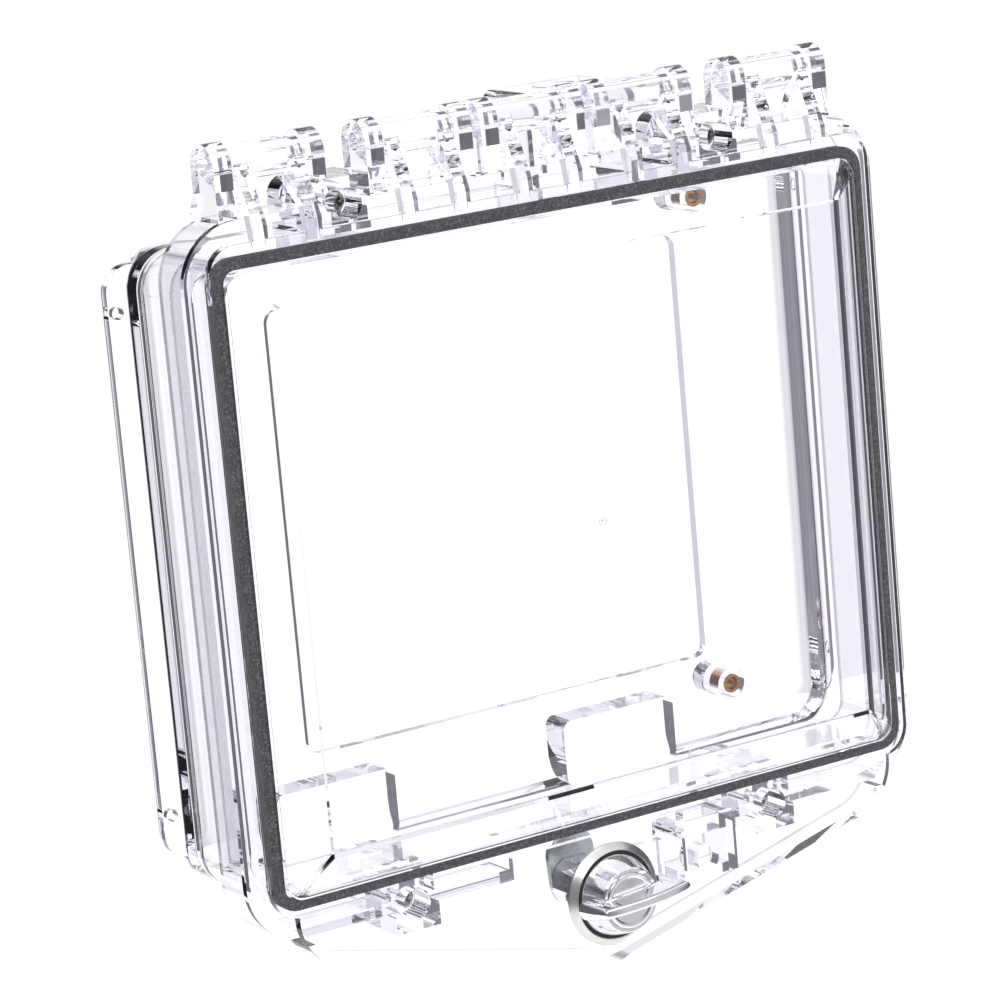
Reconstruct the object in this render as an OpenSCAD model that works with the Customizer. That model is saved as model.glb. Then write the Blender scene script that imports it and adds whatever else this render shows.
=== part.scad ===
// Clear lock box for a wall thermostat: a back box, a mounting frame, a domed cover that swings up on
// five knuckles, and a quarter-turn lock in the lip under the cover.
// The box is drawn with x to the right, y up the wall and z out from the wall, then stood upright so that
// the origin is the middle of the four wall screw holes, on the wall.

/* [Back box] */
// Width over the side walls
box_w = 234; // [226:1:250]
// Height over the top and bottom walls
box_h = 190; // [186:1:210]
// Depth from the wall to the rim
box_depth = 40; // [38:1:60]
// Thickness of the moulded walls
wall = 3; // [2.4:0.1:3.4]
// Thickness of the rear plate
floor_t = 3; // [2:0.1:4]
// Outer corner radius of the walls
box_r = 12; // [9:0.5:14]
// Width of the rear opening
rear_w = 145; // [100:1:146]
// Height of the rear opening
rear_h = 135; // [90:1:136]
// How far the middle of the rear opening and of the ears lies above the middle of the box
rear_up = 2.5; // [0:0.5:4]

/* [Side ears] */
// How far each ear reaches past the side wall
ear_reach = 6.5; // [6.5:0.1:12]
// Height of the ears
ear_h = 177; // [150:1:180]
// Thickness of the ears
ear_t = 3.2; // [3.1:0.1:6]
// Radius of the wall screw holes
wall_hole_r = 1.9; // [1.5:0.1:2]
// Distance of the wall screw holes from the side wall
wall_hole_out = 3.4; // [3:0.1:4]
// Distance of the wall screw holes from the ends of the ears
wall_hole_end = 13.5; // [10:0.5:30]

/* [Bosses and hub] */
// Distance of the device bosses from the right wall
boss_side = 42.5; // [42:0.5:54]
// Distance of the upper device boss from the rear opening's top
boss_above = 12; // [6:0.5:14]
// Distance of the lower device boss from the rear opening's bottom
boss_below = 6.5; // [6:0.5:12]
// Outer radius of the device bosses
boss_r = 5; // [4.2:0.1:5.4]
// Height of the device bosses above the rear plate
boss_h = 14; // [10:1:18]
// Radius of the screw hole in a brass insert
insert_hole_r = 2; // [1.5:0.1:2.2]
// Wall of a brass insert
insert_wall = 1; // [0.6:0.1:1.4]
// Length of a brass insert
insert_len = 6.3; // [4:0.1:8]
// Width of the conduit hub
hub_w = 37; // [30:1:44]
// Distance of the conduit hub's middle to the right
hub_x = 29; // [22:1:32]
// Height of the conduit hub above the top wall
hub_h = 28; // [24:1:30]
// Depth of the conduit hub
hub_depth = 23; // [16:1:23]
// Wall of the conduit hub
hub_wall = 2.5; // [1.6:0.1:3.2]
// Width of an inside pad
pad_w = 41; // [30:1:44]
// Distance of the first pad's middle from the left wall
pad_side = 43; // [36:1:60]
// Distance between the middles of the pads
pad_step = 102; // [60:1:106]
// Height of an inside pad up from the bottom wall
pad_h = 20.5; // [14:0.5:22]
// Thickness of an inside pad over the rear plate
pad_t = 10; // [4:1:14]

/* [Mounting frame] */
// Thickness of the frame plate
plate_t = 4; // [3:0.1:5]
// Corner radius of the frame plate
plate_r = 18; // [12:1:20]
// How far the plate reaches past the back box at top and bottom
plate_over = 10; // [9.6:0.1:12]
// Wall of the skirt around the plate
skirt_t = 2.8; // [2:0.1:4]
// Depth of the skirt behind the plate
skirt_depth = 11; // [8:0.5:15]
// Depth of the screw blocks behind the plate
block_depth = 15; // [12:1:15]
// How far the frame screws sit outside the middle between two hinge groups
screw_shift = 1.25; // [0:0.25:2]
// Wall of the collar that reaches into the back box
collar_t = 2.5; // [2:0.1:3]
// Depth of the collar behind the plate
collar_depth = 16; // [10:1:20]
// Corner radius of the window inside the collar
window_r = 6; // [3:1:10]

/* [Gasket] */
// Width of the gasket's face
gasket_face = 3.3; // [2.4:0.1:3.4]
// Thickness of the gasket
gasket_t = 3.6; // [3:0.1:5]
// Depth of the channel that holds the gasket
channel_depth = 0.6; // [0.4:0.1:1]

/* [Cover] */
// Wall of the moulded cover
cover_t = 3; // [2.4:0.1:3.4]
// Height of the dome above the flange
dome_rise = 7; // [4:0.5:14]
// Width of the sloped band at the dome's sides
slope_side = 12.3; // [9:0.1:20]
// Width of the sloped band at the dome's bottom
slope_low = 12.2; // [9:0.1:20]
// Width of the sloped band at the dome's top
slope_top = 10.9; // [9:0.1:20]
// Corner radius of the flange
flange_r = 8.5; // [5:0.5:12]
// How far the flange reaches past the gasket at the top
flange_up = 4; // [2:0.5:5]

/* [Hinge] */
// Distance of the pin line above the frame plate's edge
hinge_up = 15; // [13:0.5:20]
// Distance of the pin line behind the plate's front
hinge_back = 7.5; // [6.6:0.1:8]
// Distance of the outer hinge groups from the plate's sides
group_side = 31.5; // [30:0.5:34]
// Distance of the inner hinge groups from the middle
group_in = 39; // [37:0.5:42]
// Radius of a hinge pin
pin_r = 2.5; // [1.5:0.1:3]
// Outer radius of a hinge ear
hinge_ear_r = 6.5; // [6:0.1:6.5]
// Thickness of a hinge ear
hinge_ear_t = 6; // [4:0.1:6]
// Outer radius of a knuckle
knuckle_r = 5.4; // [4.4:0.1:6]
// Length of a knuckle
knuckle_len = 23.2; // [20:0.1:23.4]
// Thickness of an arm
arm_t = 4.4; // [3:0.1:6]

/* [Lip and lock] */
// Drop of the lock's centre below the frame plate
lock_drop = 10.8; // [10.5:0.1:11.5]
// Radius of the lip around the lock
lip_r = 21.5; // [20:0.5:23]
// Radius of the lip's outer ends
lip_end_r = 17; // [15:0.5:18]
// How far the lip's outer ends stay inside the flange's sides
lip_side = 7.7; // [5:0.1:14]
// Depth of the wall behind the lip's edge
lip_depth = 8; // [4:0.5:8]
// Wall behind the lip's edge
lip_wall = 2.5; // [2:0.1:3]
// Radius of the lock's barrel
barrel_r = 8.5; // [7.5:0.1:8.8]
// Length of the barrel behind the lip's front
barrel_len = 21; // [19:0.5:21.5]
// Radius of the lock's cone at its base
cone_r = 12.65; // [11.5:0.05:13]
// Radius of the lock's cone at its face
face_r = 9.6; // [9.4:0.1:10.5]
// Height of the cone's straight foot
foot_h = 2.5; // [1.5:0.1:3]
// Height of the cone above its foot
cone_h = 7.5; // [5:0.5:9]
// Radius of the satin bezel
bezel_r = 15.9; // [15.4:0.1:18]
// Height of the bezel at its inner edge
bezel_h = 2.4; // [1.5:0.1:3]
// Radial wall of the seal between bezel and cone
seal_wall = 0.8; // [0.5:0.1:1.2]
// Width of the nut across its flats
nut_flats = 22; // [20:0.5:24]
// Thickness of the nut
nut_t = 4; // [3:0.1:4.5]
// Radius of the lock's washer
washer_r = 12.5; // [11.5:0.1:13]
// Thickness of the lock's washer
washer_t = 1; // [0.6:0.1:1.4]

/* [Thumb turn and cam] */
// Length of the wing
wing_len = 31; // [26:0.5:36]
// Thickness of the wing
wing_t = 4.6; // [3.4:0.1:6]
// Height of the wing's crown above the cone's face
wing_h = 12; // [9:0.5:16]
// How far the wing's ends fall back from its crown
wing_bow = 2; // [0.5:0.1:3]
// Radius of the turning plug
plug_r = 8.6; // [7:0.1:8.8]
// Radius of the spindle
spindle_r = 4; // [3.4:0.1:5]
// Width of the cam
cam_w = 16.4; // [12:0.2:17]
// Reach of the cam's tip from the spindle
cam_reach = 16.3; // [14:0.1:17]
// Thickness of the cam
cam_t = 2; // [1.5:0.1:2]
// Tilt of the turning parts at rest
rest_tilt = 4; // [0:1:6]

/* [Hidden] */
$fn = 64;
blend_fn = 32;
round_fn = 96;
// Overlap that lets solids of one piece join, and by which cuts run past a face
over = 0.1;
// Thickness of the sheets that a hull joins
sliver = 0.01;
// Small gaps: a fixed seat, a turning fit, a running gap between moving faces
seat_gap = 0.02;
turn_gap = 0.06;
face_gap = 0.3;
// Air between flat faces that rest on each other
touch_gap = 0.05;

// Colours as the photo shows them
clear_plastic = [0.93, 0.94, 0.96, 0.35];
foam_grey = [0.29, 0.29, 0.30];
brass = [0.72, 0.53, 0.28];
nickel = [0.70, 0.69, 0.66];
satin_steel = [0.84, 0.83, 0.80];
chrome = [0.80, 0.81, 0.84];
rubber_black = [0.10, 0.10, 0.11];

// Back box
side_fit = 0.2;
in_x = box_w / 2 - wall;
in_y = box_h / 2 - wall;
tray_r = box_r - wall;
ear_corner_r = 8;
wall_hole_x = box_w / 2 + wall_hole_out;
wall_hole_y = ear_h / 2 - wall_hole_end;
rear_r = 4;
boss_x = in_x - boss_side;
boss_top_y = rear_up + rear_h / 2 + boss_above;
boss_low_y = rear_h / 2 - rear_up + boss_below;
insert_r = insert_hole_r + insert_wall;
insert_stand = 0.3;
boss_front = floor_t + boss_h;
insert_back = boss_front + insert_stand - insert_len;
hub_corner = 3;
knock_r = 7;
knock_deep = 0.8;
knock_line = 1;
pad_r = 3;
pad_xs = [pad_side - in_x, pad_side - in_x + pad_step];

// Frame
plate_back = box_depth + touch_gap;
plate_front = plate_back + plate_t;
plate_x = box_w / 2 + side_fit + skirt_t;
plate_y = box_h / 2 + plate_over;
collar_side_gap = 3.5;
collar_end_gap = 0.5;
window_x = in_x - collar_side_gap - collar_t;
window_y = in_y - collar_end_gap - collar_t;

// Gasket: the land is the strip of plate between the window and the gasket
channel_floor = plate_front - channel_depth;
land_side = 1.8;
land_end = 2.9;
gasket_in_x = window_x + land_side;
gasket_in_y = window_y + land_end;
gasket_r_less = 2;
gasket_in_r = window_r - gasket_r_less;
channel_gap = 0.3;
gasket_back = channel_floor + touch_gap;
flange_back = gasket_back + gasket_t + touch_gap;
flange_front = flange_back + cover_t;

// Hinge
group_out = plate_x - group_side;
group_xs = [-group_out, -group_in, 0, group_in, group_out];
hinge_y = plate_y + hinge_up;
hinge_z = plate_front - hinge_back;
knuckle_gap = 0.4;
ear_inner = knuckle_len / 2 + knuckle_gap;
ear_outer = ear_inner + hinge_ear_t;
arm_set_in = 0.6;
arm_outer = knuckle_len / 2 - arm_set_in;
arm_clear = 1.2;
ear_root = 1;
ear_foot = 7;
arm_root = 3;
arm_foot = 4;

// Frame screws
screw_out = 9;
screw_x = (group_in + group_out) / 2 + screw_shift;
screw_y = box_h / 2 + screw_out;
screw_head_r = 3.3;
screw_head_h = 2.4;
screw_shank_r = 1.75;
screw_hole_gap = 0.35;
well_gap = 1.3;
screw_well_r = screw_head_r + well_gap;
seat_deep = 9;
screw_seat = plate_front - seat_deep;
slot_w = 0.9;
slot_len = 3.4;
slot_deep = 1.4;
screw_len = 22;
lug_hole_end = 1;
block_w = 15;
block_over = 8;
skirt_back = plate_back - skirt_depth;
block_back = plate_back - block_depth;
lug_r = 6;
lug_t = 17;
lug_front = block_back - touch_gap;

// Cover
flange_over = 1.6;
flange_x = gasket_in_x + gasket_face + flange_over;
flange_low = gasket_in_y + gasket_face + flange_over;
flange_top = gasket_in_y + gasket_face + flange_up;
dome_r = 5;

// Lock: front, seats and stations along its axis
lock_y = -plate_y - lock_drop;
barrel_gap = 0.1;
barrel_back = flange_front - barrel_len;
head_back = flange_front + touch_gap;
cone_face = head_back + foot_h + cone_h;
flat_deep = 1;
barrel_flat = barrel_r - flat_deep;
plug_proud = 0.6;
plug_face = cone_face + plug_proud;
plug_deep = 3;
plug_step = 1;
washer_front = flange_back - touch_gap;
washer_back = washer_front - washer_t;
nut_back = washer_back - nut_t;
nut_ease = 0.4;
cam_front = barrel_back - face_gap;
cam_back = cam_front - cam_t;
cam_lobe_r = cam_w / 2;
square_less = 1.2;
square_w = 2 * (spindle_r - square_less);
cam_washer_r = 6;
cam_washer_t = 1;
cam_screw_head_r = 4.2;
cam_screw_head_h = 2.2;
cam_screw_r = 1.5;
cam_screw_len = 8;
wing_fit = 0.5;
bezel_rim_h = 0.6;
bezel_ease = 0.3;
seal_sunk = 0.5;
cone_ease = 0.4;
horn_up = 2.4;
horn_end = 0.9;
hollow_deep = 0.8;
hollow_edge = 3;
hollow_r = 1.5;

// Lip: how far its outer ends lie above the lock, and its wall's gap to the frame plate
lip_rise = 17.8;
lip_gap = 1.5;
lip_end_x = flange_x - lip_side - lip_end_r;
lip_end_y = lock_y + lip_rise;

// Notch for the cam, and the keeper beside it
cam_clear = 1;
notch_x = 31;
notch_top = lock_y + cam_reach + cam_clear;
keeper_x0 = 30;
keeper_x1 = 50;
keeper_drop = 5.2;
keeper_low = lock_y - keeper_drop;
keeper_depth = 16;
keeper_back = plate_front - keeper_depth;
finger_clear = 1.3;
finger_x0 = barrel_r + finger_clear;
finger_half = 6.5;
finger_back = cam_front + finger_clear;
finger_t = 3;
keeper_boss_r = 4;

function mirror_x(points) = [for (i = [len(points) - 1:-1:0]) [-points[i][0], points[i][1]]];

// Where the line from p touches a circle about c: side 1 is on the left of the way there, -1 on the right
function touch(p, c, r, side) =
    let (away = c - p,
         reach = sqrt(away * away - r * r),
         turn = atan2(away[1], away[0]) + side * asin(r / norm(away)))
    p + reach * [cos(turn), sin(turn)];

// Turns the drawing, flat against z = 0, into the object that stands up against the wall
module upright() {
    rotate([90, 0, 0]) translate([0, -rear_up, 0]) children();
}

// Extrudes a profile drawn in (y, z) from x0 to x1
module along_x(x0, x1) {
    translate([x0, 0, 0]) rotate([90, 0, 90]) linear_extrude(x1 - x0) children();
}

// Extrudes an outline drawn in (x, y) from z0 to z1
module slab(z0, z1) {
    translate([0, 0, z0]) linear_extrude(z1 - z0) children();
}

module box_from(low, high) {
    translate(low) cube(high - low);
}

// Rectangle with round corners, exact arcs and straight sides
module rounded(x0, y0, x1, y1, r) {
    translate([x0 + r, y0]) square([x1 - x0 - 2 * r, y1 - y0]);
    translate([x0, y0 + r]) square([x1 - x0, y1 - y0 - 2 * r]);
    for (x = [x0 + r, x1 - r], y = [y0 + r, y1 - r]) {
        translate([x, y]) circle(r);
    }
}

module rounded_mid(half_x, half_y, r) {
    rounded(-half_x, -half_y, half_x, half_y, r);
}

module round_rod(x, y, z0, z1, r) {
    translate([x, y, z0]) cylinder(h = z1 - z0, r = r);
}

module at_screws() {
    for (x = [-screw_x, screw_x], side = [-1, 1]) {
        translate([x, side * screw_y, 0]) mirror([0, side > 0 ? 1 : 0, 0]) children();
    }
}

module at_bosses() {
    for (y = [boss_top_y, -boss_low_y]) {
        translate([boss_x, y, 0]) children();
    }
}

// Back box: tray, side ears, bosses, pads, screw lugs and the conduit hub
module box_lug() {
    // The lug hangs on the outer face of the wall by a web as wide as itself
    round_rod(0, 0, lug_front - lug_t, lug_front, lug_r);
    box_from([-lug_r, 0, lug_front - lug_t], [lug_r, screw_out + over, lug_front]);
}

// Inside of the tray: the walls meet the rear plate in a fillet as large as the upright corners
module tray_room() {
    reach_x = in_x - tray_r;
    reach_y = in_y - tray_r;
    along_x(-reach_x, reach_x) rounded(-in_y, floor_t, in_y, box_depth + 2 * tray_r, tray_r);
    rotate([0, 0, 90]) along_x(-reach_y, reach_y) {
        rounded(-in_x, floor_t, in_x, box_depth + 2 * tray_r, tray_r);
    }
    for (x = [-reach_x, reach_x], y = [-reach_y, reach_y]) {
        round_rod(x, y, floor_t + tray_r, box_depth + over, tray_r);
        translate([x, y, floor_t + tray_r]) rotate([0, -90, x * y > 0 ? -45 : 45]) sphere(tray_r);
    }
}

module conduit_hub() {
    top = box_h / 2 + hub_h;
    left = hub_x - hub_w / 2;
    right = hub_x + hub_w / 2;
    difference() {
        slab(0, hub_depth) rounded(left, box_h / 2 - wall / 2, right, top, hub_corner);
        translate([hub_x, top + over, hub_depth / 2]) rotate([90, 0, 0]) difference() {
            cylinder(h = knock_deep + over, r = knock_r);
            translate([0, 0, -over]) cylinder(h = knock_deep + 3 * over, r = knock_r - knock_line);
        }
    }
}

// The way for wires from the hub through the top wall
module hub_room() {
    box_from([hub_x - hub_w / 2 + hub_wall, in_y - tray_r, floor_t],
             [hub_x + hub_w / 2 - hub_wall, box_h / 2 + hub_h - hub_wall, hub_depth - hub_wall]);
    box_from([hub_x - hub_w / 2 + hub_wall, box_h / 2, -over],
             [hub_x + hub_w / 2 - hub_wall, box_h / 2 + hub_h - hub_wall, hub_depth - hub_wall]);
}

module back_box() {
    color(clear_plastic) upright() difference() {
        union() {
            difference() {
                union() {
                    slab(0, box_depth) rounded_mid(box_w / 2, box_h / 2, box_r);
                    slab(0, ear_t) translate([0, rear_up]) {
                        rounded_mid(box_w / 2 + ear_reach, ear_h / 2, ear_corner_r);
                    }
                }
                tray_room();
            }
            at_bosses() round_rod(0, 0, floor_t - over, boss_front, boss_r);
            for (x = pad_xs) {
                slab(floor_t - over, floor_t + pad_t) {
                    rounded(x - pad_w / 2, -in_y - over, x + pad_w / 2, -in_y + pad_h, pad_r);
                }
            }
            at_screws() box_lug();
            conduit_hub();
        }
        hub_room();
        slab(-over, floor_t + over) translate([0, rear_up]) rounded_mid(rear_w / 2, rear_h / 2, rear_r);
        for (x = [-wall_hole_x, wall_hole_x], side = [-1, 1]) {
            round_rod(x, rear_up + side * wall_hole_y, -over, ear_t + over, wall_hole_r);
        }
        at_bosses() round_rod(0, 0, insert_back - touch_gap, boss_front + over, insert_r + seat_gap);
        at_screws() {
            round_rod(0, 0, screw_seat - screw_len - lug_hole_end, lug_front + over,
                      screw_shank_r + seat_gap);
        }
    }
}

// Mounting frame: plate, skirt, collar, hinge ears, screw blocks and keeper
module hinge_ear_profile() {
    translate([hinge_y, hinge_z]) circle(hinge_ear_r);
    polygon([[plate_y - ear_root, block_back], [plate_y + ear_foot, hinge_z - hinge_ear_r],
             [hinge_y, hinge_z - hinge_ear_r], [hinge_y, hinge_z + hinge_ear_r],
             [plate_y - ear_root, hinge_z + hinge_ear_r]]);
}

module keeper() {
    difference() {
        union() {
            box_from([keeper_x0, keeper_low, keeper_back], [keeper_x1, -plate_y + over, plate_front]);
            slab(finger_back, finger_back + finger_t) {
                translate([finger_x0 + finger_half / 2, 0]) {
                    rounded(-finger_half / 2, lock_y - finger_half, keeper_x0 - finger_x0,
                            lock_y + finger_half, finger_half / 2);
                }
            }
        }
        box_from([keeper_x0 + lip_wall, keeper_low + lip_wall, keeper_back - over],
                 [keeper_x1 - lip_wall, -plate_y - lip_wall, plate_front - lip_wall]);
    }
    round_rod((keeper_x0 + keeper_x1) / 2, lock_y, screw_seat, plate_front - over, keeper_boss_r);
}

// Outline of the gasket: its inner edge, or the edge that lies this far outside it
module gasket_outline(out) {
    rounded_mid(gasket_in_x + out, gasket_in_y + out, gasket_in_r + out);
}

module mount_frame() {
    color(clear_plastic) upright() difference() {
        union() {
            difference() {
                slab(plate_back, plate_front) rounded_mid(plate_x, plate_y, plate_r);
                slab(channel_floor, plate_front + over) difference() {
                    gasket_outline(gasket_face + channel_gap);
                    gasket_outline(-channel_gap);
                }
            }
            slab(skirt_back, plate_back + over) difference() {
                rounded_mid(plate_x, plate_y, plate_r);
                rounded_mid(plate_x - skirt_t, plate_y - skirt_t, plate_r - skirt_t);
            }
            slab(plate_back - collar_depth, plate_back + over) {
                rounded_mid(window_x + collar_t, window_y + collar_t, window_r + collar_t);
            }
            for (group = group_xs, side = [-1, 1]) {
                middle = group + side * (ear_inner + ear_outer) / 2;
                along_x(middle - hinge_ear_t / 2, middle + hinge_ear_t / 2) hinge_ear_profile();
            }
            at_screws() {
                box_from([-block_w / 2, -block_over, block_back], [block_w / 2, block_over, plate_front]);
            }
        }
        slab(plate_back - collar_depth - over, plate_front + over) rounded_mid(window_x, window_y, window_r);
        box_from([-notch_x, -plate_y - over, block_back - over], [notch_x, notch_top, plate_front + over]);
        for (group = group_xs) {
            translate([group - ear_outer - over, hinge_y, hinge_z]) rotate([0, 90, 0]) {
                cylinder(h = 2 * (ear_outer + over), r = pin_r + seat_gap);
            }
        }
        at_screws() {
            round_rod(0, 0, screw_seat, plate_front + over, screw_well_r);
            round_rod(0, 0, block_back - over, screw_seat + over, screw_shank_r + screw_hole_gap);
        }
    }
}

// The keeper is moulded on the frame
module frame_with_keeper() {
    mount_frame();
    color(clear_plastic) upright() keeper();
}

// Cover: flange, dome, hinge arms with knuckles, and the lip
module dome_solid(side, low, top, r, z0, rise, run_side, run_low, run_top) {
    hull() {
        slab(z0, z0 + sliver) rounded(-side, -low, side, top, r, $fn = blend_fn);
        slab(z0 + rise - sliver, z0 + rise) {
            translate([-side + run_side, -low + run_low]) {
                square([2 * (side - run_side), low + top - run_low - run_top]);
            }
        }
    }
}

// Outline of the lip: circles at the lock and at both ends, joined by their tangents, less a margin
module lip_outline(margin) {
    mid = [0, lock_y];
    end = [lip_end_x, lip_end_y];
    way = end - mid;
    turn = atan2(way[1], way[0]) - 90 + asin((lip_r - lip_end_r) / norm(way));
    out = [cos(turn), sin(turn)];
    right = [mid + (lip_r - margin) * out, end + (lip_end_r - margin) * out,
             end + [lip_end_r - margin, 0], end + [lip_end_r - margin, lip_end_r / 2]];
    polygon(concat(right, mirror_x(right)));
    translate(mid) circle(lip_r - margin);
    for (side = [-1, 1]) {
        translate([side * end[0], end[1]]) circle(lip_end_r - margin);
    }
}

module hinge_arm(x0) {
    pin = [hinge_y, hinge_z];
    root = flange_top - arm_root;
    elbow = [flange_top + arm_foot, flange_front];
    inner = [plate_y + ear_root, plate_front + arm_clear];
    along_x(x0, x0 + arm_t) {
        polygon([[root, flange_back], inner, touch(inner, pin, knuckle_r, -1), pin,
                 touch(elbow, pin, knuckle_r, 1), elbow, [root, flange_front]]);
    }
}

module cover() {
    inset = cover_t * (norm([slope_side, dome_rise]) - slope_side) / dome_rise;
    color(clear_plastic) upright() difference() {
        union() {
            slab(flange_back, flange_front) {
                rounded(-flange_x, -flange_low, flange_x, flange_top, flange_r);
                lip_outline(0);
            }
            slab(flange_back - lip_depth, flange_back + over) difference() {
                lip_outline(0);
                lip_outline(lip_wall);
                translate([-lip_end_x - lip_end_r, -plate_y - lip_gap]) {
                    square([2 * (lip_end_x + lip_end_r), 3 * lip_end_r]);
                }
            }
            dome_solid(gasket_in_x, gasket_in_y, gasket_in_y, dome_r, flange_front - over, dome_rise + over,
                       slope_side, slope_low, slope_top);
            for (group = group_xs) {
                translate([group - knuckle_len / 2, hinge_y, hinge_z]) rotate([0, 90, 0]) {
                    cylinder(h = knuckle_len, r = knuckle_r);
                }
                hinge_arm(group - arm_outer);
                hinge_arm(group + arm_outer - arm_t);
            }
        }
        dome_solid(gasket_in_x - inset, gasket_in_y - inset, gasket_in_y - inset, dome_r,
                   flange_back - over, dome_rise + over, slope_side, slope_low, slope_top);
        for (group = group_xs) {
            translate([group - knuckle_len, hinge_y, hinge_z]) rotate([0, 90, 0]) {
                cylinder(h = 2 * knuckle_len, r = pin_r + turn_gap);
            }
        }
        round_rod(0, lock_y, flange_back - over, flange_front + over, barrel_r + barrel_gap);
    }
}

module cover_gasket() {
    color(foam_grey) upright() slab(gasket_back, gasket_back + gasket_t) difference() {
        gasket_outline(gasket_face);
        gasket_outline(0);
    }
}

// One pin of the hinge, at the group with this number
module hinge_pin(number) {
    color(clear_plastic) upright() {
        translate([group_xs[number - 1] - ear_outer, hinge_y, hinge_z]) rotate([0, 90, 0]) {
            cylinder(h = 2 * ear_outer, r = pin_r);
        }
    }
}

module brass_inserts() {
    color(brass) upright() at_bosses() difference() {
        round_rod(0, 0, insert_back, insert_back + insert_len, insert_r);
        round_rod(0, 0, insert_back - over, insert_back + insert_len + over, insert_hole_r);
    }
}

// Pan head: a short upright rim under a quarter ellipse of short straight steps, flat in the middle
module pan_head(r, h) {
    steps = 8;
    flat_r = 0.55 * r;
    rim_h = 0.4 * h;
    round_edge = [for (i = [0:steps]) [flat_r + (r - flat_r) * cos(90 * i / steps),
                                       rim_h + (h - rim_h) * sin(90 * i / steps)]];
    rotate_extrude() polygon(concat([[0, 0], [r, 0]], round_edge, [[0, h]]));
}

module frame_screws() {
    color(nickel) upright() at_screws() {
        round_rod(0, 0, screw_seat - screw_len, screw_seat + touch_gap + over, screw_shank_r);
        translate([0, 0, screw_seat + touch_gap]) difference() {
            pan_head(screw_head_r, screw_head_h);
            for (turn = [45, 135]) {
                rotate([0, 0, turn]) translate([-slot_len / 2, -slot_w / 2, screw_head_h - slot_deep]) {
                    cube([slot_len, slot_w, screw_head_h]);
                }
            }
        }
    }
}

// Lock: everything from here on stands on the lock's axis
module at_lock() {
    upright() translate([0, lock_y, 0]) children();
}

module lock_bezel() {
    bore = cone_r + seal_wall + turn_gap;
    color(satin_steel) at_lock() translate([0, 0, head_back]) rotate_extrude($fn = round_fn) {
        polygon([[bore, 0], [bezel_r, 0], [bezel_r, bezel_rim_h],
                 [bezel_r - bezel_ease, bezel_rim_h + bezel_ease],
                 [bore + bezel_ease, bezel_h], [bore, bezel_h - bezel_ease]]);
    }
}

module lock_seal() {
    color(rubber_black) at_lock() translate([0, 0, head_back]) rotate_extrude() {
        translate([cone_r + seat_gap, 0]) square([seal_wall, bezel_h - seal_sunk]);
    }
}

module lock_housing() {
    color(chrome) at_lock() difference() {
        union() {
            intersection() {
                round_rod(0, 0, barrel_back, head_back + over, barrel_r);
                box_from([-barrel_r, -barrel_flat, barrel_back], [barrel_r, barrel_flat, head_back + over]);
            }
            translate([0, 0, head_back]) rotate_extrude($fn = round_fn) {
                polygon([[0, 0], [cone_r, 0], [cone_r, foot_h],
                         [face_r + cone_ease, foot_h + cone_h - cone_ease],
                         [face_r, foot_h + cone_h], [0, foot_h + cone_h]]);
            }
        }
        round_rod(0, 0, cone_face - plug_deep - face_gap, cone_face + over, plug_r + turn_gap);
        round_rod(0, 0, barrel_back - over, cone_face, spindle_r + turn_gap);
    }
}

module lock_washer() {
    color(nickel) at_lock() difference() {
        round_rod(0, 0, washer_back, washer_front, washer_r);
        round_rod(0, 0, washer_back - over, washer_front + over, barrel_r + turn_gap);
    }
}

module lock_nut() {
    corner_r = nut_flats / 2 / cos(30);
    color(nickel) at_lock() difference() {
        intersection() {
            slab(nut_back, washer_back) circle(r = corner_r, $fn = 6);
            round_rod(0, 0, nut_back, washer_back, corner_r - nut_ease);
        }
        round_rod(0, 0, nut_back - over, washer_back + over, barrel_r + turn_gap);
    }
}

module turned() {
    at_lock() rotate([0, 0, rest_tilt]) children();
}

// Side view of the wing: two horns that follow the cone down, under a bowed crown
module wing_profile() {
    half = wing_len / 2;
    crown = cone_face + wing_h;
    bow_r = (half * half + wing_bow * wing_bow) / (2 * wing_bow);
    horn = head_back + foot_h + horn_up;
    shoulder = crown - wing_bow - horn_end;
    cone_x = cone_r + wing_fit;
    face_x = face_r + wing_fit;
    steps = 8;
    top = [for (i = [steps:-1:-steps]) let (x = (half - horn_end) * i / steps)
           [x, crown - bow_r + sqrt(bow_r * bow_r - x * x)]];
    polygon(concat([[-half, horn], [-cone_x, horn], [-face_x, cone_face + wing_fit],
                    [face_x, cone_face + wing_fit], [cone_x, horn], [half, horn],
                    [half, shoulder]], top, [[-half, shoulder]]));
}

// Shallow hollow for a finger on each flat of the wing
module finger_hollow() {
    half = wing_len / 2 - hollow_edge;
    low = cone_face + hollow_edge;
    high = cone_face + wing_h - wing_bow - hollow_edge;
    for (side = [-1, 1]) {
        translate([0, side * wing_t / 2, 0]) rotate([90, 0, 0]) translate([0, 0, -hollow_deep]) {
            linear_extrude(2 * hollow_deep) rounded(-half, low, half, high, hollow_r);
        }
    }
}

module thumb_turn() {
    color(chrome) turned() difference() {
        union() {
            round_rod(0, 0, cone_face - plug_deep, plug_face, plug_r);
            round_rod(0, 0, cam_front, cone_face - plug_deep + over, spindle_r);
            slab(cam_back + over, cam_front + over) square(square_w, center = true);
            intersection() {
                rotate([90, 0, 0]) translate([0, 0, -wing_t / 2]) linear_extrude(wing_t) wing_profile();
                slab(flange_front, cone_face + wing_h + over) {
                    rounded_mid(wing_len / 2, wing_t / 2, wing_t / 2 - sliver);
                }
            }
            round_rod(0, 0, cone_face, plug_face, plug_r - plug_step);
        }
        finger_hollow();
        round_rod(0, 0, cam_back, cam_back + cam_screw_len, cam_screw_r + seat_gap);
    }
}

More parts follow.
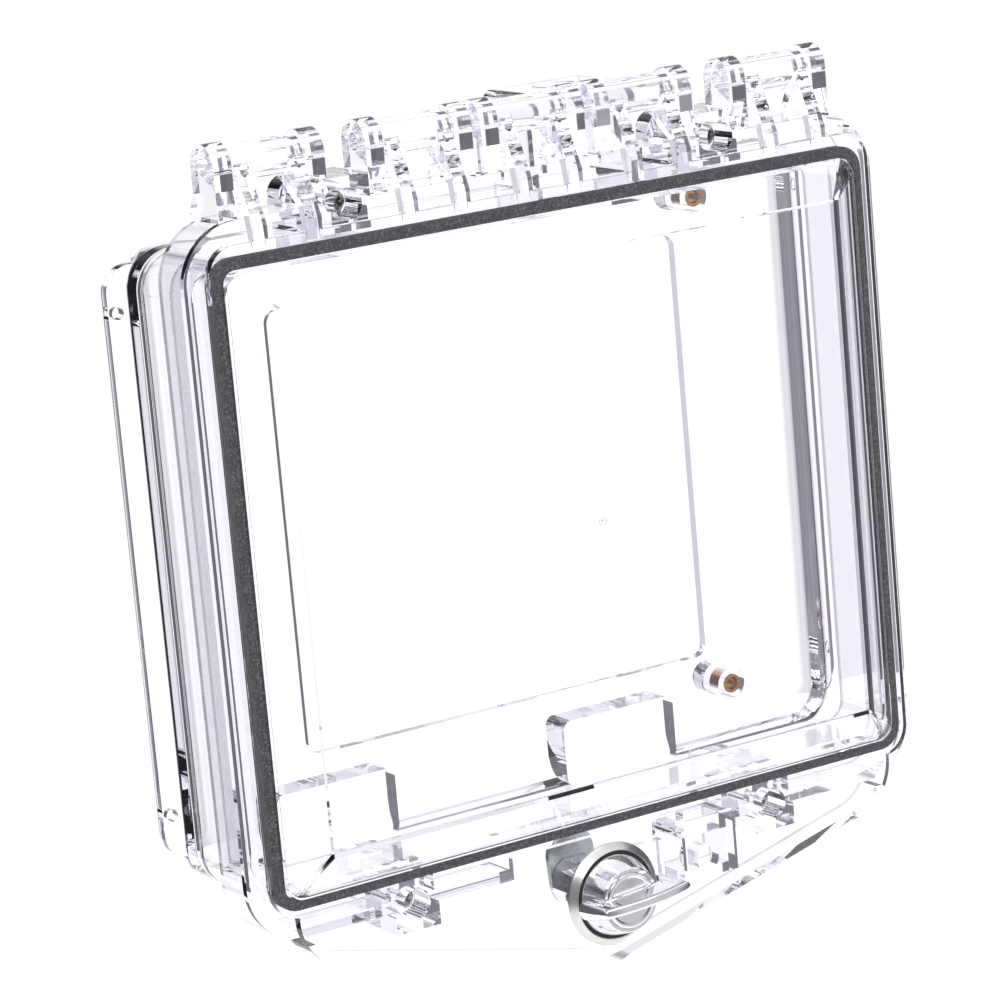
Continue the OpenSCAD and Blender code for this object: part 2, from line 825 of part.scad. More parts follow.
module cam() {
    color(nickel) turned() difference() {
        slab(cam_back, cam_front) {
            circle(cam_lobe_r);
            translate([-cam_lobe_r, 0]) square([cam_w, cam_reach - cam_lobe_r]);
            translate([0, cam_reach - cam_lobe_r]) circle(cam_lobe_r);
        }
        slab(cam_back - over, cam_front + over) {
            square(square_w + 2 * seat_gap, center = true);
        }
    }
}

module cam_washer() {
    color(nickel) turned() difference() {
        round_rod(0, 0, cam_back - cam_washer_t, cam_back, cam_washer_r);
        round_rod(0, 0, cam_back - cam_washer_t - over, cam_back + over, cam_screw_r + seat_gap);
    }
}

module cam_screw() {
    back = cam_back - cam_washer_t;
    color(nickel) turned() {
        translate([0, 0, back]) mirror([0, 0, 1]) pan_head(cam_screw_head_r, cam_screw_head_h);
        round_rod(0, 0, back - over, cam_back + cam_screw_len - face_gap, cam_screw_r);
    }
}

back_box();
frame_with_keeper();  // mount_frame
cover();
cover_gasket();
hinge_pin(1);  // hinge_pin_1
hinge_pin(2);  // hinge_pin_2
hinge_pin(3);  // hinge_pin_3
hinge_pin(4);  // hinge_pin_4
hinge_pin(5);  // hinge_pin_5
brass_inserts();
frame_screws();
lock_bezel();
lock_seal();
lock_housing();
lock_washer();
lock_nut();
thumb_turn();
cam();
cam_washer();
cam_screw();
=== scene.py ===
"""Looks of a clear lock box for a wall thermostat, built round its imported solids.

Back box, frame, cover and hinge pins are clear polycarbonate, the gasket is foam rubber, and the lock is
chromed zinc, satin stainless steel and zinc-plated steel. The thumb turn and the gate mark are made here.
Lengths in the classes are real millimetres, and every mesh is in metres.
"""

import logging
from dataclasses import dataclass, field
from enum import Enum

import bmesh
import bpy
import numpy as np
from mathutils import Matrix, Vector


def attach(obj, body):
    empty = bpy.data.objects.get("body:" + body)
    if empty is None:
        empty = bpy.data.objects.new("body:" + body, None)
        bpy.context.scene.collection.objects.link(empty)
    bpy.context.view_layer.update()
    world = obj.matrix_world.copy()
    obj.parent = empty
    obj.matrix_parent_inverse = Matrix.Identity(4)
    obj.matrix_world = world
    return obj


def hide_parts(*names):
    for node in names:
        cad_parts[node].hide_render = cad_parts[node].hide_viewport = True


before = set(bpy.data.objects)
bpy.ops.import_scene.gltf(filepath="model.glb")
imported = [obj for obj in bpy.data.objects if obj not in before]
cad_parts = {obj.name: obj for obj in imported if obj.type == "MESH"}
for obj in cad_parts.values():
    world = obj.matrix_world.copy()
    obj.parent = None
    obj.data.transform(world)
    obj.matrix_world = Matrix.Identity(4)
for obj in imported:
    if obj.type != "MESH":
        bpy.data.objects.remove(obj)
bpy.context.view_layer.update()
MM = 0.001
FULL_TURN = 2 * np.pi
WHITE = (1, 1, 1, 1)
MERGE_DISTANCE = 1e-6
THINNEST_EDGE = 1e-7
log = logging.getLogger("lock_box")


class Body(Enum):
    """The moving bodies that the pieces made here ride on."""

    COVER = "cover"
    TURN = "turn"


def srgb(code: str) -> tuple[float, float, float, float]:
    """Turns an sRGB hex colour such as "#E8E4DC" into Blender's linear colour.

    Args:
        code: Six hex digits after a hash sign.

    Returns:
        Linear red, green and blue with full opacity.
    """
    channels = np.array([int(code[i:i + 2], 16) for i in (1, 3, 5)]) / 255
    linear = np.where(channels <= 0.04045, channels / 12.92, ((channels + 0.055) / 1.055) ** 2.4)
    return (*linear.tolist(), 1.0)


def add(tree: bpy.types.NodeTree, kind: str, feeds: dict | None = None, **settings) -> bpy.types.Node:
    """Adds a node with its settings and links.

    Args:
        tree: The node tree.
        kind: Blender's name for the node type.
        feeds: For each input, by name or number, a plain value or the output socket that feeds it.
        **settings: Properties of the node itself.

    Returns:
        The new node.
    """
    node = tree.nodes.new(kind)
    for name, value in settings.items():
        setattr(node, name, value)
    for name, value in (feeds or {}).items():
        socket = node.inputs[name]
        if isinstance(value, bpy.types.NodeSocket):
            tree.links.new(value, socket)
        else:
            socket.default_value = value
    return node


def blank_material(name: str) -> tuple[bpy.types.Material, bpy.types.NodeTree]:
    """Makes an empty node material.

    Args:
        name: The material's name.

    Returns:
        The material and its cleared node tree.
    """
    material = bpy.data.materials.new(name)
    material.use_nodes = True
    material.node_tree.nodes.clear()
    return material, material.node_tree


@dataclass(frozen=True)
class ClearPolycarbonate:
    """Clear polycarbonate: water clear face on, with a faint lilac where the eye looks along a wall."""

    name: str
    tint: str = "#FDFCFF"
    roughness: float = 0.015
    ior: float = 1.586
    absorb: str = "#CECAE0"
    absorb_per_m: float = 5.0
    flow_mm: float = 26.0
    flow_height_mm: float = 0.02
    flow_detail: float = 1.0
    flow_fade: float = 0.4

    def build(self) -> bpy.types.Material:
        """Makes the material: clear refraction, slow flow waves from the mould and a lilac depth.

        Returns:
            The material.
        """
        material, tree = blank_material(self.name)
        place = add(tree, "ShaderNodeTexCoord")
        flow = add(tree, "ShaderNodeTexNoise", {"Vector": place.outputs["Object"],
                                                "Scale": 1 / (self.flow_mm * MM),
                                                "Detail": self.flow_detail, "Roughness": self.flow_fade})
        bump = add(tree, "ShaderNodeBump", {"Height": flow.outputs["Fac"], "Strength": 1.0,
                                            "Distance": self.flow_height_mm * MM})
        shader = add(tree, "ShaderNodeBsdfPrincipled", {"Base Color": srgb(self.tint), "IOR": self.ior,
                                                        "Roughness": self.roughness,
                                                        "Transmission Weight": 1.0,
                                                        "Normal": bump.outputs["Normal"]})
        depth = add(tree, "ShaderNodeVolumeAbsorption", {"Color": srgb(self.absorb),
                                                         "Density": self.absorb_per_m})
        add(tree, "ShaderNodeOutputMaterial", {"Surface": shader.outputs["BSDF"],
                                               "Volume": depth.outputs["Volume"]})
        return material


@dataclass(frozen=True)
class FoamRubber:
    """Closed-cell foam rubber cut from sheet: dark grey, with painted shade as dark spots in its pores and
    painted highlights as pale spots on its raised cell walls.
    """

    name: str
    base: str = "#2B2B2D"
    # The second colour is painted shade in the pores, and the third is a painted highlight on the raised cell
    # walls.
    pore_shade: str = "#121213"
    cell_highlight: str = "#7A7A7E"
    cell_mm: float = 0.55
    pore_shade_at: float = 0.42
    base_at: float = 0.53
    cell_highlight_at: float = 0.64
    cell_detail: float = 3.0
    cell_fade: float = 0.7
    pore_deep_mm: float = 0.15
    pore_strength: float = 0.7
    roughness: float = 0.85
    gloss: float = 0.3

    def build(self) -> bpy.types.Material:
        """Makes the material: a matt body with painted shade as dark spots where the bump sinks and painted
        highlights as pale spots where it rises, and pores as a fine bump.

        Returns:
            The material.
        """
        material, tree = blank_material(self.name)
        place = add(tree, "ShaderNodeTexCoord")
        cells = add(tree, "ShaderNodeTexNoise", {"Vector": place.outputs["Object"],
                                                 "Scale": 1 / (self.cell_mm * MM),
                                                 "Detail": self.cell_detail, "Roughness": self.cell_fade})
        # The bump's noise also sets the colour: the dark end is painted shade in the sunk pores, and the pale
        # end is a painted highlight on the raised cell walls.
        painted_specks = add(tree, "ShaderNodeValToRGB", {"Fac": cells.outputs["Fac"]})
        painted_specks.color_ramp.elements[0].position = self.pore_shade_at
        painted_specks.color_ramp.elements[0].color = srgb(self.pore_shade)
        painted_specks.color_ramp.elements[1].position = self.cell_highlight_at
        painted_specks.color_ramp.elements[1].color = srgb(self.cell_highlight)
        painted_specks.color_ramp.elements.new(self.base_at).color = srgb(self.base)
        bump = add(tree, "ShaderNodeBump", {"Height": cells.outputs["Fac"], "Strength": self.pore_strength,
                                            "Distance": self.pore_deep_mm * MM})
        shader = add(tree, "ShaderNodeBsdfPrincipled", {"Base Color": painted_specks.outputs["Color"],
                                                        "Roughness": self.roughness,
                                                        "Specular IOR Level": self.gloss,
                                                        "Normal": bump.outputs["Normal"]})
        add(tree, "ShaderNodeOutputMaterial", {"Surface": shader.outputs["BSDF"]})
        return material


@dataclass(frozen=True)
class Metal:
    """A bare or plated metal: its colour, how matt it is, and the size and depth of its surface marks."""

    name: str
    colour: str
    worn: str
    roughness: float
    rough_spread: float
    mark_mm: tuple[float, float, float]
    mark_depth_mm: float
    mark_strength: float = 0.5
    mark_detail: float = 4.0
    mark_fade: float = 0.6
    worn_at: float = 0.3
    colour_at: float = 0.6
    rough_from: float = 0.3
    rough_to: float = 0.7

    def build(self) -> bpy.types.Material:
        """Makes the material: noise of the marks' size moves the colour, the roughness and the bump.

        Returns:
            The material.
        """
        material, tree = blank_material(self.name)
        place = add(tree, "ShaderNodeTexCoord")
        scaled = add(tree, "ShaderNodeMapping", {"Vector": place.outputs["Object"],
                                                 "Scale": tuple(1 / (size * MM) for size in self.mark_mm)})
        marks = add(tree, "ShaderNodeTexNoise", {"Vector": scaled.outputs["Vector"], "Scale": 1.0,
                                                 "Detail": self.mark_detail, "Roughness": self.mark_fade})
        colour = add(tree, "ShaderNodeValToRGB", {"Fac": marks.outputs["Fac"]})
        colour.color_ramp.elements[0].position = self.worn_at
        colour.color_ramp.elements[0].color = srgb(self.worn)
        colour.color_ramp.elements[1].position = self.colour_at
        colour.color_ramp.elements[1].color = srgb(self.colour)
        rough = add(tree, "ShaderNodeMapRange", {"Value": marks.outputs["Fac"], "From Min": self.rough_from,
                                                 "From Max": self.rough_to,
                                                 "To Min": max(0.0, self.roughness - self.rough_spread),
                                                 "To Max": self.roughness + self.rough_spread})
        bump = add(tree, "ShaderNodeBump", {"Height": marks.outputs["Fac"], "Strength": self.mark_strength,
                                            "Distance": self.mark_depth_mm * MM})
        shader = add(tree, "ShaderNodeBsdfPrincipled", {"Base Color": colour.outputs["Color"],
                                                        "Metallic": 1.0,
                                                        "Roughness": rough.outputs["Result"],
                                                        "Normal": bump.outputs["Normal"]})
        add(tree, "ShaderNodeOutputMaterial", {"Surface": shader.outputs["BSDF"]})
        return material


# Chromed zinc casting: a mirror that is clean enough to show hard dark and light shapes
CHROME = Metal("chromed_zinc", "#F2F2F4", "#E2E2E6", 0.05, 0.03, (6.0, 6.0, 6.0), 0.01, 0.2)
# Brushed stainless ring: a soft sheen with no hard reflection
SATIN = Metal("satin_stainless", "#E6E5E2", "#D2D1CE", 0.30, 0.06, (0.25, 0.25, 0.25), 0.01)
# Zinc-plated steel: grey with a faint cloudy bloom
ZINC = Metal("zinc_plated_steel", "#B9B8B2", "#8E8D88", 0.3, 0.1, (1.5, 1.5, 1.5), 0.02)
# Rolled zinc-plated strip: cool grey, cloudy
CAM_ZINC = Metal("zinc_plated_strip", "#C9CFCF", "#A3AAAB", 0.28, 0.08, (3.0, 3.0, 3.0), 0.02)
# Turned brass: warm, with turning marks
BRASS = Metal("turned_brass", "#C08A4A", "#8A5A2A", 0.25, 0.08, (1.0, 0.3, 1.0), 0.02)
# Injection-moulded polycarbonate: glass clear, with slow waves that bend the lines behind it a little
COVER_CLEAR = ClearPolycarbonate("moulded_polycarbonate_cover")
FRAME_CLEAR = ClearPolycarbonate("moulded_polycarbonate_frame")
BOX_CLEAR = ClearPolycarbonate("moulded_polycarbonate_box")
# Extruded polycarbonate rod: as clear as the mouldings
PIN_CLEAR = ClearPolycarbonate("extruded_polycarbonate_rod")
# Closed-cell foam rubber cut from sheet: near black, with painted shade in the pores and pale painted
# highlights on the cell walls
FOAM = FoamRubber("closed_cell_foam_rubber")
# Moulded rubber ring: plain dark grey, which also paints the shade in the gap between bezel and cone, with
# hardly any grain
SEAL_AND_GAP_SHADE = FoamRubber("seal_rubber_and_gap_shade", "#3A3A3C", "#2C2C2E", "#4A4A4C", 0.4)


def dress(nodes: list[str], material: bpy.types.Material) -> None:
    """Gives CAD nodes one material.

    Args:
        nodes: Names of the nodes.
        material: What they are made of.
    """
    for name in nodes:
        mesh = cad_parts[name].data
        mesh.materials.clear()
        mesh.materials.append(material)
        log.info("dressed %s in %s", name, material.name)


def surface(points: np.ndarray) -> tuple[np.ndarray, np.ndarray]:
    """Lists the points and four-cornered faces of a grid of rings.

    Args:
        points: The grid in millimetres, as an array of rings, points of a ring and the three axes.

    Returns:
        The points in metres, one to a row, and the four point numbers of each face.
    """
    rings, around = points.shape[:2]
    i, j = np.meshgrid(np.arange(rings - 1), np.arange(around), indexing="ij")
    k = (j + 1) % around
    faces = np.stack([i * around + j, i * around + k, (i + 1) * around + k, (i + 1) * around + j], axis=-1)
    return points.reshape(-1, 3) * MM, faces.reshape(-1, 4)


def make_piece(name: str, shells: list[np.ndarray], material: bpy.types.Material, body: Body,
               sharp_deg: float = 32.0) -> bpy.types.Object:
    """Makes one piece from closed shells, merges its poles and seams, and turns its faces outwards.

    Args:
        name: The piece's name.
        shells: Each shell's rings of points, in millimetres. A ring that closes a shell has no width.
        material: What it is made of.
        body: The body that it rides on.
        sharp_deg: Edges that turn by more than this stay crisp.

    Returns:
        The new object.
    """
    points, faces, base = [], [], 0
    for shell in shells:
        shell_points, shell_faces = surface(shell)
        points.append(shell_points)
        faces.append(shell_faces + base)
        base += len(shell_points)
    mesh = bpy.data.meshes.new(name)
    mesh.from_pydata(np.concatenate(points).tolist(), [], np.concatenate(faces).tolist())
    work = bmesh.new()
    work.from_mesh(mesh)
    bmesh.ops.remove_doubles(work, verts=work.verts, dist=MERGE_DISTANCE)
    bmesh.ops.dissolve_degenerate(work, edges=work.edges, dist=THINNEST_EDGE)
    bmesh.ops.recalc_face_normals(work, faces=work.faces)
    work.to_mesh(mesh)
    work.free()
    mesh.polygons.foreach_set("use_smooth", np.ones(len(mesh.polygons), dtype=bool))
    mesh.set_sharp_from_angle(angle=np.radians(sharp_deg))
    mesh.materials.append(material)
    piece = bpy.data.objects.new(name, mesh)
    bpy.context.scene.collection.objects.link(piece)
    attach(piece, body.value)
    log.info("made %s: %d points on %s", name, len(mesh.vertices), body.value)
    return piece


def round_angles(count: int) -> np.ndarray:
    """Gives equally spaced angles of a full turn, as one row.

    Args:
        count: How many.

    Returns:
        The angles in radians.
    """
    return np.linspace(0, FULL_TURN, count, endpoint=False)[None, :]


def boxed(wave: np.ndarray, power: float) -> np.ndarray:
    """Squares a sine or cosine up, so that a circle becomes a box with round corners: sign(w) |w|^power.

    Args:
        wave: The sine or cosine.
        power: Below 1, and the smaller it is the crisper the corners are.

    Returns:
        The squared wave.
    """
    return np.sign(wave) * np.abs(wave) ** power


def smooth_box(value: np.ndarray, low: np.ndarray | float, high: np.ndarray | float,
               edge: float) -> np.ndarray:
    """Gives 1 between two values and 0 outside, with smooth steps: 3t^2 - 2t^3 over each edge's width.

    Args:
        value: Where to work it out.
        low: Lower end of the box.
        high: Upper end of the box.
        edge: Width of each step.

    Returns:
        The steps' product, shaped as the value.
    """
    rise = np.clip((value - low) / edge, 0, 1)
    fall = np.clip((high - value) / edge, 0, 1)
    return rise * rise * (3 - 2 * rise) * fall * fall * (3 - 2 * fall)


@dataclass
class ThumbTurn:
    """The chromed turn: a dished plug, a curved wing that grips the cone, and a spindle with a square end.

    Its own axes are x along the wing, t across it, and a station along the lock's axis, from the wall out.
    """

    axis_z: float = -118.3
    tilt_deg: float = 4.0
    half: float = 15.45
    crown: float = 72.15
    bow: float = 2.2
    end_round: float = 1.5
    crown_half: float = 1.35
    crown_rise: float = 2.3
    flare: float = 2.0
    flare_power: float = 0.75
    rise_power: float = 1.4
    blade_deep: float = 17.0
    base_x: tuple[float, ...] = (0.0, 10.1, 13.15, 16.0)
    base_station: tuple[float, ...] = (60.6, 60.6, 55.15, 55.15)
    corner_power: float = 0.25
    hollow_x: tuple[float, float] = (-12.2, 13.2)
    hollow_low: float = 1.6
    hollow_high: float = 1.5
    hollow_end: float = 1.2
    hollow_side: float = 0.8
    hollow_deep: float = 0.45
    dish: tuple[tuple[float, float], ...] = ((0, 60.55), (6.9, 60.45), (7.3, 60.75), (7.6, 60.85),
                                             (8.1, 60.85), (8.4, 60.7), (8.55, 60.4), (8.55, 57.25),
                                             (3.95, 57.25), (3.95, 28.95))
    square_end: tuple[tuple[float, float], ...] = ((2.8, 28.9), (2.8, 26.95))
    screw_bore: tuple[tuple[float, float], ...] = ((1.55, 26.95), (1.55, 34.8), (0, 34.8))
    rings: int = 121
    end_rings: int = 12
    around: int = 120

    def place(self, x: np.ndarray, station: np.ndarray, t: np.ndarray) -> np.ndarray:
        """Turns the turn's own axes into the object's: a turn by the tilt about the lock's axis.

        Args:
            x: Along the wing.
            station: Along the lock's axis.
            t: Across the wing.

        Returns:
            The points, with the three axes last.
        """
        angle = np.radians(self.tilt_deg)
        return np.stack([np.cos(angle) * x - np.sin(angle) * t, -station,
                         self.axis_z + np.sin(angle) * x + np.cos(angle) * t], axis=-1)

    def wing_x(self) -> np.ndarray:
        """Spaces the wing's rings: even between the round ends, and by a quarter turn's sine within them.

        Returns:
            Each ring's x, as one column.
        """
        flat = self.half - self.end_round
        last = self.rings - 1
        marks = [0, self.end_rings, last - self.end_rings, last]
        part = np.interp(np.arange(self.rings), marks, [0, 1, 2, 3])
        left = -flat - self.end_round * np.cos(part * np.pi / 2)
        middle = (part - 1) * 2 * flat - flat
        right = flat + self.end_round * np.sin((part - 2) * np.pi / 2)
        return np.where(part < 1, left, np.where(part > 2, right, middle))[:, None]

    def wing(self) -> np.ndarray:
        """Works out the wing as rings across its length.

        A ring at x is a rounded box. Its station is mid + half height * boxed(cos a), between the base, which
        follows the cone, and the crown, which falls by bow * (x / half)^2. Its t is centre + width *
        boxed(sin a), where the centre rises and the width narrows from the base to the crown, as the blade
        curves up. The ends are round in plan, and a rounded hollow is sunk into the upper flat.

        Returns:
            The rings' points.
        """
        x = self.wing_x()
        beyond = np.clip((np.abs(x) - (self.half - self.end_round)) / self.end_round, 0, 1)
        plan = np.sqrt(np.clip(1 - beyond ** 2, 0, 1))
        low = np.interp(np.abs(x), self.base_x, self.base_station)
        high = self.crown - self.bow * (x / self.half) ** 2
        a = round_angles(self.around)
        station = (low + high) / 2 + (high - low) / 2 * boxed(np.cos(a), self.corner_power)
        depth = np.clip((high - station) / self.blade_deep, 0, 1)
        width = self.crown_half + self.flare * depth ** self.flare_power
        centre = self.crown_rise * (1 - depth) ** self.rise_power
        t = centre + width * plan * boxed(np.sin(a), self.corner_power)
        hollow = (smooth_box(x, *self.hollow_x, self.hollow_end)
                  * smooth_box(station, low + self.hollow_low, high - self.hollow_high, self.hollow_side))
        t = t - np.where(np.sin(a) > 0, self.hollow_deep * hollow * plan, 0.0)
        return self.place(np.broadcast_to(x, t.shape), station, t)

    def plug(self) -> np.ndarray:
        """Works out plug and spindle as one turned profile, whose back end is square round the screw's bore.

        A ring is a circle of the profile's radius r. In the square end the radius is
        r / max(|cos a|, |sin a|).

        Returns:
            The rings' points.
        """
        profile = np.array(self.dish + self.square_end + self.screw_bore)
        square = np.zeros((len(profile), 1), dtype=bool)
        square[len(self.dish):len(self.dish) + len(self.square_end)] = True
        a = round_angles(self.around)
        radius = profile[:, :1] / np.where(square, np.maximum(np.abs(np.cos(a)), np.abs(np.sin(a))), 1.0)
        station = np.broadcast_to(profile[:, 1:], radius.shape)
        return self.place(radius * np.cos(a), station, radius * np.sin(a))

    def build(self, chrome: bpy.types.Material) -> None:
        """Makes the turn in the place of the plain solid.

        Args:
            chrome: The chromed casting.
        """
        turn = make_piece("thumb_turn_cast", [self.plug(), self.wing()], chrome, Body.TURN)
        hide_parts("thumb_turn")


@dataclass
class GateMark:
    """The mark that the mould's gate leaves on the cover's front: a thin raised ring round a small pip."""

    place: tuple[float, float, float] = (3.5, -57.05, -2.6)
    ring_r: float = 1.25
    bead_r: float = 0.16
    pip_r: float = 0.5
    pip_h: float = 0.18
    ring_steps: int = 49
    bead_steps: int = 12
    pip_rings: int = 13
    pip_steps: int = 24

    def build(self, clear: bpy.types.Material) -> None:
        """Makes ring and pip: the ring is a circle of small circles, and the pip is a flattened ball.

        Args:
            clear: The cover's polycarbonate.
        """
        a = np.linspace(0, FULL_TURN, self.ring_steps)[:, None]
        b = round_angles(self.bead_steps)
        r = self.ring_r + self.bead_r * np.cos(b)
        bead = np.broadcast_to(self.bead_r * np.sin(b), (self.ring_steps, self.bead_steps))
        ring = np.stack([r * np.cos(a), bead, r * np.sin(a)], axis=-1) + np.array(self.place)
        c = np.linspace(0, np.pi, self.pip_rings)[:, None]
        d = round_angles(self.pip_steps)
        height = np.broadcast_to(self.pip_h * np.cos(c), (self.pip_rings, self.pip_steps))
        pip = np.stack([self.pip_r * np.sin(c) * np.cos(d), height, self.pip_r * np.sin(c) * np.sin(d)],
                       axis=-1) + np.array(self.place)
        make_piece("cover_gate_mark", [ring, pip], clear, Body.COVER)


@dataclass
class ClearShell:
    """The clear mouldings: back box, mounting frame, cover and the five hinge pins."""

    pin_count: int = 5

    def dress(self) -> None:
        """Gives each moulding its polycarbonate."""
        dress(["back_box"], BOX_CLEAR.build())
        dress(["mount_frame"], FRAME_CLEAR.build())
        cover = COVER_CLEAR.build()
        dress(["cover"], cover)
        GateMark().build(cover)
        dress([f"hinge_pin_{i + 1}" for i in range(self.pin_count)], PIN_CLEAR.build())


@dataclass
class Trim:
    """The small parts: gasket, inserts, screws and the lock."""

    def dress(self) -> None:
        """Gives each small part its material."""
        chrome = CHROME.build()
        dress(["cover_gasket"], FOAM.build())
        # The seal ring's dark grey also paints the shade in the gap between bezel and cone.
        dress(["lock_seal"], SEAL_AND_GAP_SHADE.build())
        dress(["brass_inserts"], BRASS.build())
        dress(["frame_screws", "lock_washer", "lock_nut", "cam_washer", "cam_screw"], ZINC.build())
        dress(["cam"], CAM_ZINC.build())
        dress(["lock_bezel"], SATIN.build())
        dress(["lock_housing", "thumb_turn"], chrome)
        ThumbTurn().build(chrome)


@dataclass
class Studio:
    """Pale floor, soft light and the photograph's camera. Its lengths are metres."""

    eye: Vector = field(default_factory=lambda: Vector((-666.115, -1082.411, 277.850)) * MM)
    right: Vector = field(default_factory=lambda: Vector((0.83674, -0.54065, -0.08699)))
    up: Vector = field(default_factory=lambda: Vector((0.18925, 0.13643, 0.97241)))
    lens: float = 153.69
    sensor: float = 36.0
    clip: tuple[float, float] = (0.01, 20.0)
    floor_z: float = -0.6
    floor_r: float = 1.2
    floor_hub_r: float = 0.001
    floor_rings: int = 24
    floor_turns: int = 96
    floor_paper: str = "#F2F2F2"
    floor_glow: float = 0.25
    wall: str = "#7C7C82"
    dark: str = "#58585E"
    pale: str = "#D2D2D6"
    white: str = "#FFFFFF"
    dark_side: tuple[float, float, float] = (-0.36, 0.93, 0.0)
    right_side: tuple[float, float, float] = (1.0, 0.0, 0.0)
    front_side: tuple[float, float, float] = (0.52, -0.85, 0.0)
    back_side: tuple[float, float, float] = (0.56, 0.83, 0.0)
    dark_edge: tuple[float, float] = (0.72, 0.92)
    side_edge: tuple[float, float] = (0.80, 0.92)
    back_edge: tuple[float, float] = (0.87, 0.96)
    ceiling_edge: tuple[float, float] = (0.42, 0.58)
    ground_edge: tuple[float, float] = (-0.40, -0.55)
    backlight: float = 1.3
    backlight_depth: float = 4.0
    bent_share: float = 0.3
    key_place: tuple[float, float, float] = (-0.9, -1.2, 1.2)
    key_size: tuple[float, float] = (0.8, 0.8)
    key_power: float = 8.0
    top_place: tuple[float, float, float] = (0.3, -0.3, 1.5)
    top_size: tuple[float, float] = (1.0, 0.6)
    top_power: float = 6.0
    path_bounces: int = 32
    mirror_bounces: int = 14

    def camera(self) -> None:
        """Stands the camera where the photograph was taken from."""
        data = bpy.data.cameras.new("photo_camera")
        data.lens = self.lens
        data.sensor_width = self.sensor
        data.clip_start, data.clip_end = self.clip
        camera = bpy.data.objects.new("photo_camera", data)
        back = self.right.cross(self.up)
        turn = Matrix((self.right, self.up, back)).transposed()
        camera.matrix_world = Matrix.Translation(self.eye) @ turn.to_4x4()
        bpy.context.scene.collection.objects.link(camera)
        bpy.context.scene.camera = camera

    def ramp(self, tree: bpy.types.NodeTree, value: bpy.types.NodeSocket, at_none: float,
             at_full: float) -> bpy.types.NodeSocket:
        """Adds a smooth step from 0 to 1 between two values of a direction's part.

        Args:
            tree: The world's node tree.
            value: The socket that holds the part.
            at_none: Where the step is still 0.
            at_full: Where it has reached 1.

        Returns:
            The socket of the step.
        """
        rising = at_full > at_none
        step = add(tree, "ShaderNodeMapRange", {"Value": value, "From Min": min(at_none, at_full),
                                                "From Max": max(at_none, at_full),
                                                "To Min": 0.0 if rising else 1.0,
                                                "To Max": 1.0 if rising else 0.0},
                   interpolation_type="SMOOTHSTEP")
        return step.outputs["Result"]

    def lobe(self, tree: bpy.types.NodeTree, way: bpy.types.NodeSocket, panel: tuple[float, float, float],
             edge: tuple[float, float]) -> bpy.types.NodeSocket:
        """Adds the soft-edged outline of a tall panel that stands in one direction.

        The dot product of the ray's way and the panel's level direction rises to 1 at the panel's middle, and
        its smooth step between the two edge values is the panel.

        Args:
            tree: The world's node tree.
            way: The socket of the ray's direction.
            panel: The level direction of the panel's middle.
            edge: The dot products at which the panel starts and is full.

        Returns:
            The socket of the panel's cover, from 0 to 1.
        """
        near = add(tree, "ShaderNodeVectorMath", {0: way, 1: panel}, operation="DOT_PRODUCT")
        return self.ramp(tree, near.outputs["Value"], *edge)

    def sky(self) -> None:
        """White all round as the box is lit, and a room of grey walls for light that is mirrored.

        A mirrored path sees the room: grey walls at eye level that are darker on the right and behind on the
        left, a white panel straight behind, a pale one in front on the right, and white above and below. One
        that has only passed through clear walls sees a share of it, so that the box stays clear all round.
        The strength starts at 1 and rises to the backlight with the walls passed, as they take some light.
        """
        world = bpy.data.worlds.new("white_room")
        world.use_nodes = True
        tree = world.node_tree
        tree.nodes.clear()
        way = add(tree, "ShaderNodeTexCoord").outputs["Generated"]
        height = add(tree, "ShaderNodeSeparateXYZ", {"Vector": way}).outputs["Z"]
        room = srgb(self.wall)
        parts = [(self.lobe(tree, way, self.dark_side, self.dark_edge), self.dark),
                 (self.lobe(tree, way, self.right_side, self.side_edge), self.dark),
                 (self.lobe(tree, way, self.front_side, self.side_edge), self.pale),
                 (self.lobe(tree, way, self.back_side, self.back_edge), self.white),
                 (self.ramp(tree, height, *self.ceiling_edge), self.white),
                 (self.ramp(tree, height, *self.ground_edge), self.white)]
        for cover, colour in parts:
            room = add(tree, "ShaderNodeMix", {"Factor": cover, "A": room, "B": srgb(colour)},
                       data_type="RGBA").outputs["Result"]
        path = add(tree, "ShaderNodeLightPath")
        walls = add(tree, "ShaderNodeMath", {0: path.outputs["Transmission Depth"], 1: self.bent_share},
                    operation="MULTIPLY", use_clamp=True)
        bent = add(tree, "ShaderNodeMath", {0: walls.outputs["Value"], 1: self.bent_share},
                   operation="MINIMUM")
        sees = add(tree, "ShaderNodeMath", {0: bent.outputs["Value"], 1: path.outputs["Glossy Depth"]},
                   operation="MAXIMUM", use_clamp=True)
        colour = add(tree, "ShaderNodeMix", {"Factor": sees.outputs["Value"], "A": WHITE, "B": room},
                     data_type="RGBA")
        strength = add(tree, "ShaderNodeMapRange", {"Value": path.outputs["Transmission Depth"],
                                                    "From Min": 0.0, "From Max": self.backlight_depth,
                                                    "To Min": 1.0, "To Max": self.backlight})
        light = add(tree, "ShaderNodeBackground", {"Color": colour.outputs["Result"],
                                                   "Strength": strength.outputs["Result"]})
        add(tree, "ShaderNodeOutputWorld", {"Surface": light.outputs["Background"]})
        bpy.context.scene.world = world

    def bounces(self) -> None:
        """Lets light follow the long paths inside the clear walls, which otherwise end in black."""
        cycles = bpy.context.scene.cycles
        cycles.max_bounces = self.path_bounces
        cycles.transmission_bounces = self.path_bounces
        cycles.glossy_bounces = self.mirror_bounces

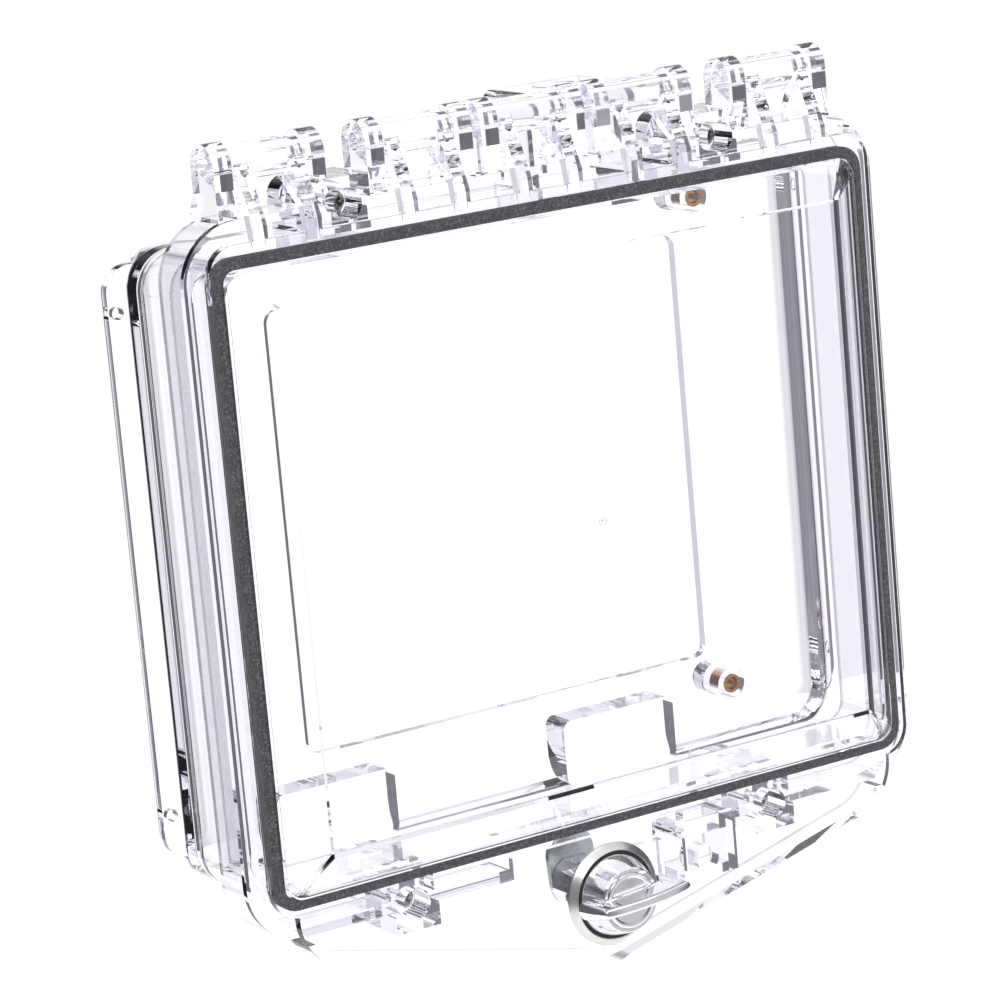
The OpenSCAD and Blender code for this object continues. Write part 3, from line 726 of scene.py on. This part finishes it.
    def lamp(self, name: str, place: tuple[float, float, float], size: tuple[float, float],
             power: float) -> None:
        """Hangs a soft lamp that looks at the box.

        Args:
            name: The lamp's name.
            place: Where it hangs, in metres.
            size: Width and height in metres.
            power: Watts.
        """
        data = bpy.data.lights.new(name, "AREA")
        data.shape = "RECTANGLE"
        data.size, data.size_y = size
        data.energy = power
        lamp = bpy.data.objects.new(name, data)
        lamp.location = place
        lamp.rotation_euler = (-Vector(place)).to_track_quat("-Z", "Y").to_euler()
        bpy.context.scene.collection.objects.link(lamp)

    def floor(self) -> None:
        """Lays a round white floor well below the box: a disc of rings, radius r and angle a on a grid."""
        rings, turns = self.floor_rings, self.floor_turns
        r, a = np.meshgrid(np.linspace(self.floor_hub_r, self.floor_r, rings), round_angles(turns)[0])
        points = np.stack([r * np.cos(a), r * np.sin(a), np.full_like(r, self.floor_z)], axis=-1)
        i, j = np.meshgrid(np.arange(turns), np.arange(rings - 1), indexing="ij")
        k = (i + 1) % turns
        faces = np.stack([i * rings + j, i * rings + j + 1, k * rings + j + 1, k * rings + j], axis=-1)
        mesh = bpy.data.meshes.new("floor")
        mesh.from_pydata(points.reshape(-1, 3).tolist(), [], faces.reshape(-1, 4).tolist())
        material, tree = blank_material("white_paper_floor")
        matt = add(tree, "ShaderNodeBsdfDiffuse", {"Color": srgb(self.floor_paper)})
        glow = add(tree, "ShaderNodeEmission", {"Color": WHITE, "Strength": self.floor_glow})
        both = add(tree, "ShaderNodeAddShader", {0: matt.outputs["BSDF"], 1: glow.outputs["Emission"]})
        add(tree, "ShaderNodeOutputMaterial", {"Surface": both.outputs["Shader"]})
        mesh.materials.append(material)
        floor = bpy.data.objects.new("floor", mesh)
        bpy.context.scene.collection.objects.link(floor)

    def build(self) -> None:
        """Sets up camera, sky, light paths, lamps and floor."""
        self.camera()
        self.sky()
        self.bounces()
        self.lamp("key_softbox", self.key_place, self.key_size, self.key_power)
        self.lamp("top_softbox", self.top_place, self.top_size, self.top_power)
        self.floor()
        bpy.context.scene.view_settings.view_transform = "Standard"


def main() -> None:
    """Builds the studio and dresses the box."""
    logging.basicConfig(level=logging.INFO, format="%(name)s: %(message)s")
    Studio().build()
    ClearShell().dress()
    Trim().dress()


if __name__ == "__main__":
    main()
